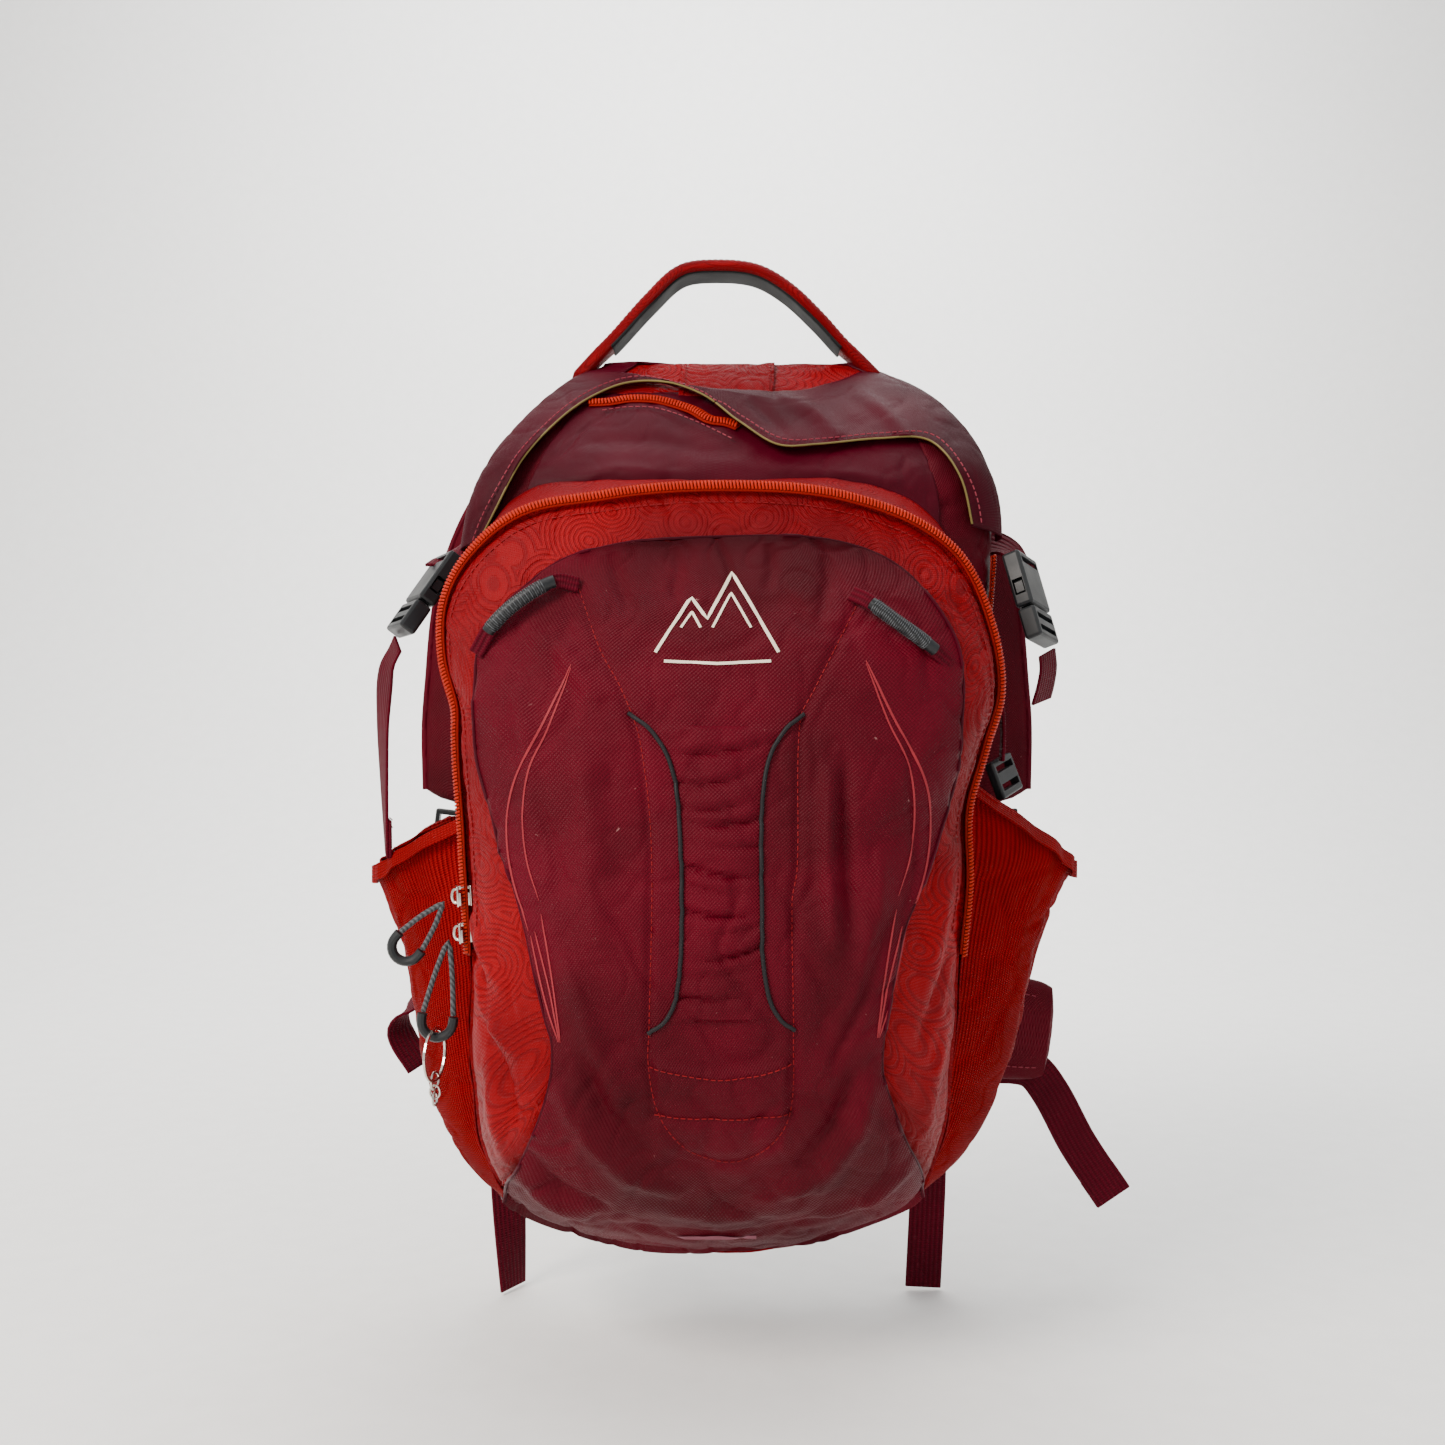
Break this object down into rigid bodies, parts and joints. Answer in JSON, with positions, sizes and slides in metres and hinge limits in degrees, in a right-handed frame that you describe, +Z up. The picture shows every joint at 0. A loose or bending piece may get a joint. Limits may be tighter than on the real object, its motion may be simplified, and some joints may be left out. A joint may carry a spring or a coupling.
{
  "type": "day pack",
  "caption": "Zipped day pack hung by its haul handle: domed front pocket that folds down, stretch side pockets, compression buckles, padded harness and hip belt.",
  "frame": {"origin": "point where a hook meets the underside of the haul handle, at the middle of the grip", "axes": "+Z up, -Y out of the front of the bag, +X to the right as the front is seen"},
  "size_m": [0.4226, 0.1974, 0.5678],
  "materials": {
    "red_ripstop": "matt woven nylon",
    "burgundy_nylon": "satin woven nylon",
    "stretch_mesh": "ribbed stretch mesh",
    "webbing": "woven webbing",
    "orange_zip": "nylon coil zip",
    "grey_acetal": "moulded acetal",
    "grey_cord": "braided cord",
    "spacer_mesh": "spacer mesh over foam",
    "frame_plastic": "extruded sheet",
    "plated_zinc": "plated die casting"
  },
  "bodies": {
    "bag": {"rear_panel": "burgundy_nylon", "side_gusset_left": "burgundy_nylon", "side_gusset_right": "burgundy_nylon", "hood_front": "burgundy_nylon", "rain_flap": "burgundy_nylon", "base_panel": "burgundy_nylon", "front_lower_panel": "burgundy_nylon", "pocket_divider": "red_ripstop", "top_yoke": "red_ripstop", "front_gusset": "red_ripstop", "side_pocket_left": "stretch_mesh", "side_pocket_right": "stretch_mesh", "compression_webbing_left": "webbing", "compression_webbing_right": "webbing", "lower_webbing_left": "webbing", "lower_webbing_right": "webbing", "strap_tail_left": "webbing", "strap_tail_right": "webbing", "main_zip_chain": "orange_zip", "front_zip_chain": "orange_zip", "buckle_socket_left": "grey_acetal", "buckle_socket_right": "grey_acetal", "buckle_plug_left": "grey_acetal", "buckle_plug_right": "grey_acetal", "side_ladder_right": "grey_acetal", "back_pad": "spacer_mesh", "frame_sheet": "frame_plastic"},
    "haul_handle": {"haul_handle": "red_ripstop"},
    "front_flap": {"front_flap": "red_ripstop", "tool_loop_left": "grey_acetal", "tool_loop_right": "grey_acetal"},
    "front_slider_upper": {"front_slider_upper": "plated_zinc"},
    "front_slider_lower": {"front_slider_lower": "plated_zinc"},
    "front_pull_upper": {"front_pull_upper_cord": "grey_cord", "front_pull_upper_grip": "grey_acetal"},
    "front_pull_lower": {"front_pull_lower_cord": "grey_cord", "front_pull_lower_grip": "grey_acetal"},
    "key_ring": {"key_ring": "plated_zinc"},
    "main_slider": {"main_slider": "plated_zinc"},
    "main_pull": {"main_pull": "grey_cord"},
    "prong_left_a": {"buckle_prong_left_a": "grey_acetal"},
    "prong_left_b": {"buckle_prong_left_b": "grey_acetal"},
    "prong_right_a": {"buckle_prong_right_a": "grey_acetal"},
    "prong_right_b": {"buckle_prong_right_b": "grey_acetal"},
    "shoulder_strap_left": {"shoulder_strap_left": "burgundy_nylon", "ladder_lock_left": "grey_acetal"},
    "shoulder_strap_right": {"shoulder_strap_right": "burgundy_nylon", "ladder_lock_right": "grey_acetal"},
    "sternum_clip_left": {"sternum_clip_left": "grey_acetal"},
    "sternum_clip_right": {"sternum_clip_right": "grey_acetal"},
    "sternum_half_left": {"sternum_webbing_left": "webbing", "sternum_plug": "grey_acetal"},
    "sternum_half_right": {"sternum_webbing_right": "webbing", "sternum_socket": "grey_acetal"},
    "hip_wing_left": {"hip_wing_left": "burgundy_nylon", "hip_webbing_left": "webbing", "hip_plug": "grey_acetal"},
    "hip_wing_right": {"hip_wing_right": "burgundy_nylon", "hip_webbing_right": "webbing", "hip_socket": "grey_acetal"}
  },
  "joints": [
    {"name": "haul_handle_swing", "type": "hinge", "parent": "bag", "child": "haul_handle", "pos_m": [0, 0, -0.0455], "axis": [1, 0, 0], "range_deg": [-60, 60]},
    {"name": "front_flap_fold", "type": "hinge", "parent": "bag", "child": "front_flap", "pos_m": [0, -0.14648, -0.315], "axis": [1, 0, 0], "range_deg": [0, 35]},
    {"name": "front_slider_upper_run", "type": "slide", "parent": "bag", "child": "front_slider_upper", "axis": [-0.0569, 0.003, 0.9984], "range_m": [0, 0.045]},
    {"name": "front_slider_lower_run", "type": "slide", "parent": "bag", "child": "front_slider_lower", "axis": [-0.0569, 0.003, 0.9984], "range_m": [-0.005, 0.004]},
    {"name": "front_pull_upper_lift", "type": "hinge", "parent": "front_slider_upper", "child": "front_pull_upper", "pos_m": [-0.12974, -0.09355, -0.3282], "axis": [-1, 0, 0], "range_deg": [0, 90]},
    {"name": "front_pull_lower_lift", "type": "hinge", "parent": "front_slider_lower", "child": "front_pull_lower", "pos_m": [-0.12872, -0.0936, -0.346], "axis": [-1, 0, 0], "range_deg": [0, 90]},
    {"name": "key_ring_swing", "type": "hinge", "parent": "front_pull_lower", "child": "key_ring", "pos_m": [-0.13561, -0.0936, -0.39502], "axis": [1, 0, 0], "range_deg": [-60, 60]},
    {"name": "main_slider_run", "type": "slide", "parent": "bag", "child": "main_slider", "axis": [0.0553, -0.0784, 0.9954], "range_m": [0, 0.02]},
    {"name": "main_pull_lift", "type": "hinge", "parent": "main_slider", "child": "main_pull", "pos_m": [0.14662, -0.03826, -0.23585], "axis": [0, -1, 0], "range_deg": [0, 15]},
    {"name": "prong_left_a_squeeze", "type": "hinge", "parent": "bag", "child": "prong_left_a", "pos_m": [-0.15474, -0.04913, -0.18404], "axis": [0.7254, 0.3726, -0.5787], "range_deg": [0, 8], "stiffness_Nm_per_rad": 0.05},
    {"name": "prong_left_b_squeeze", "type": "hinge", "parent": "bag", "child": "prong_left_b", "pos_m": [-0.1476, -0.06231, -0.18357], "axis": [-0.7254, -0.3726, 0.5787], "range_deg": [0, 8], "stiffness_Nm_per_rad": 0.05},
    {"name": "prong_right_a_squeeze", "type": "hinge", "parent": "bag", "child": "prong_right_a", "pos_m": [0.15811, -0.05246, -0.18494], "axis": [-0.8173, 0.4734, -0.3285], "range_deg": [0, 8], "stiffness_Nm_per_rad": 0.05},
    {"name": "prong_right_b_squeeze", "type": "hinge", "parent": "bag", "child": "prong_right_b", "pos_m": [0.16622, -0.04004, -0.1872], "axis": [0.8173, -0.4734, 0.3285], "range_deg": [0, 8], "stiffness_Nm_per_rad": 0.05},
    {"name": "shoulder_strap_left_swing", "type": "hinge", "parent": "bag", "child": "shoulder_strap_left", "pos_m": [-0.046, 0.033, -0.08], "axis": [1, 0, 0], "range_deg": [0, 25]},
    {"name": "sternum_clip_left_slide", "type": "slide", "parent": "shoulder_strap_left", "child": "sternum_clip_left", "axis": [-0.5, 0, -0.866], "range_m": [-0.02, 0.02]},
    {"name": "sternum_half_left_swing", "type": "hinge", "parent": "sternum_clip_left", "child": "sternum_half_left", "pos_m": [-0.106, 0.045, -0.13], "axis": [1, 0, 0], "range_deg": [0, 60]},
    {"name": "shoulder_strap_right_swing", "type": "hinge", "parent": "bag", "child": "shoulder_strap_right", "pos_m": [0.046, 0.033, -0.08], "axis": [1, 0, 0], "range_deg": [0, 25]},
    {"name": "sternum_clip_right_slide", "type": "slide", "parent": "shoulder_strap_right", "child": "sternum_clip_right", "axis": [0.5, 0, -0.866], "range_m": [-0.02, 0.02]},
    {"name": "sternum_half_right_swing", "type": "hinge", "parent": "sternum_clip_right", "child": "sternum_half_right", "pos_m": [0.115, 0.045, -0.13], "axis": [1, 0, 0], "range_deg": [0, 60]},
    {"name": "hip_wing_left_fold", "type": "hinge", "parent": "bag", "child": "hip_wing_left", "pos_m": [-0.088, 0.035, -0.408], "axis": [0, 0, 1], "range_deg": [0, 20]},
    {"name": "hip_wing_right_fold", "type": "hinge", "parent": "bag", "child": "hip_wing_right", "pos_m": [0.088, 0.035, -0.408], "axis": [0, 0, 1], "range_deg": [0, 90]}
  ]
}
